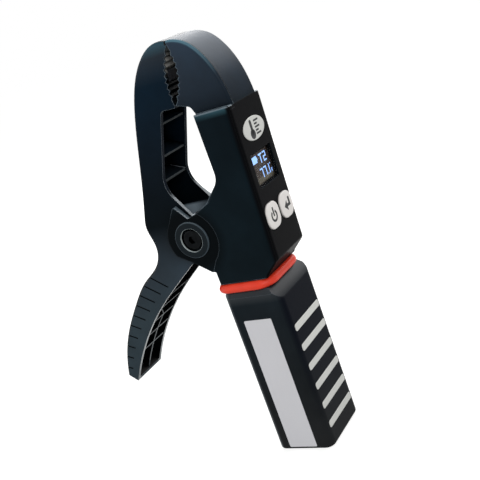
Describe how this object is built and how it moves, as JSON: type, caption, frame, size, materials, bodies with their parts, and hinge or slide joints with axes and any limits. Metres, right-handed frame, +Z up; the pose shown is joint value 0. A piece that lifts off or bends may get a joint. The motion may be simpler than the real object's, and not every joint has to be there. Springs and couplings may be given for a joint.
{
  "type": "pipe clamp thermometer",
  "caption": "Hand-held spring clamp with serrated jaws that measures a pipe's surface temperature, with a display, keys and a battery grip.",
  "frame": {"origin": "middle of the grip's flat base", "axes": "+Z up the grip to the jaws, +X out of the face with the display, +Y across"},
  "size_m": [0.133, 0.0398, 0.229],
  "materials": {
    "head_shell": "moulded glass-filled nylon, near black",
    "jaw": "moulded glass-filled nylon, dark slate",
    "grip": "moulded ABS, near black",
    "badge": "light plate with a painted face",
    "window": "clear dark-tinted acrylic",
    "button": "moulded ABS, warm light grey",
    "display": "display glass",
    "board": "glass-epoxy circuit board",
    "zinc_steel": "zinc-plated steel",
    "can_steel": "tinned shield can",
    "switch": "dome switch",
    "sensor_metal": "stainless steel",
    "lead": "insulated wire",
    "black_steel": "blackened steel",
    "spring_steel": "spring steel",
    "red_rubber": "silicone rubber",
    "tray": "moulded ABS",
    "cell": "sleeved dry cell",
    "pad": "hard rubber",
    "stripe": "thermoplastic rubber, light grey",
    "panel": "plain printed film, pale grey"
  },
  "bodies": {
    "root": {"main_shell": "head_shell", "side_cover": "head_shell", "badge_plate": "badge", "display_window": "window", "oled_module": "display", "circuit_board": "board", "board_screws": "zinc_steel", "radio_module": "can_steel", "key_switches": "switch", "sensor_plate": "sensor_metal", "sensor_lead": "lead", "cover_screws": "black_steel", "pivot_barrel": "zinc_steel", "pivot_screw": "black_steel", "pivot_nut": "black_steel", "torsion_spring": "spring_steel", "neck_ring": "red_rubber", "battery_tray": "tray", "tray_screws": "zinc_steel", "battery_left": "cell", "battery_right": "cell", "contact_springs": "spring_steel", "contact_plates": "spring_steel", "battery_leads": "lead"},
    "power": {"power_button": "button"},
    "return": {"return_button": "button"},
    "jaw": {"moving_jaw": "jaw", "jaw_pad": "pad"},
    "handle": {"handle_shell": "grip", "grip_stripes": "stripe", "side_label": "panel"}
  },
  "joints": [
    {"name": "jaw_hinge", "type": "hinge", "parent": "root", "child": "jaw", "pos_m": [-0.02485, 0, 0.128], "axis": [0, -1, 0], "range_deg": [0, 32], "stiffness_Nm_per_rad": 0.3, "springref_deg": -68.75, "deforming": ["torsion_spring"]},
    {"name": "power_press", "type": "slide", "parent": "root", "child": "power", "axis": [-0.9994, 0, 0.0342], "range_m": [0, 0.0008], "stiffness_N_per_m": 800, "springref_m": -0.001},
    {"name": "return_press", "type": "slide", "parent": "root", "child": "return", "axis": [-0.9994, 0, 0.0342], "range_m": [0, 0.0008], "stiffness_N_per_m": 800, "springref_m": -0.001},
    {"name": "handle_slide", "type": "slide", "parent": "root", "child": "handle", "axis": [0, 0, -1], "range_m": [0, 0.08]}
  ]
}
